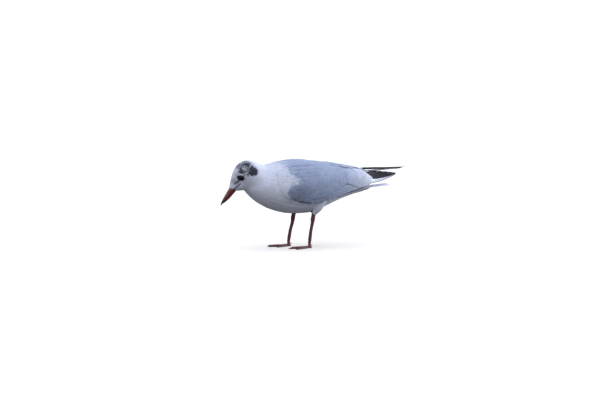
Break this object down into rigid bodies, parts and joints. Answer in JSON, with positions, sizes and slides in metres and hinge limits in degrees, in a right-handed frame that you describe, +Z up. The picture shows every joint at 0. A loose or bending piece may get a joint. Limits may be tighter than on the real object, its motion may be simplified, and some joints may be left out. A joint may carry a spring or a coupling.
{
  "type": "black-headed gull",
  "caption": "Still, life-size model of a black-headed gull in winter plumage, standing with head lowered, bill pointing down and folded wing tips crossed.",
  "frame": {"origin": "on the floor, under the middle of the bird's bounding box", "axes": "-X is the way the bird faces, -Y its left side, +Z up"},
  "size_m": [0.3422, 0.0924, 0.1521],
  "materials": {
    "white_plumage": "soft white plumage",
    "grey_plumage": "soft pale grey plumage",
    "black_plumage": "firm black flight feathers",
    "bill": "satin dark red horn",
    "leg": "dark red scaly skin",
    "eye": "glossy dark brown"
  },
  "bodies": {
    "root": {"head": "white_plumage", "neck": "white_plumage", "trunk": "white_plumage", "rump": "white_plumage", "tail": "white_plumage", "thigh_left": "white_plumage", "thigh_right": "white_plumage", "wing_left": "grey_plumage", "wing_right": "grey_plumage", "primaries_left": "black_plumage", "primaries_right": "black_plumage", "bill_upper": "bill", "bill_lower": "bill", "eye_left": "eye", "eye_right": "eye", "leg_left": "leg", "leg_right": "leg", "foot_left": "leg", "foot_right": "leg"}
  },
  "joints": []
}
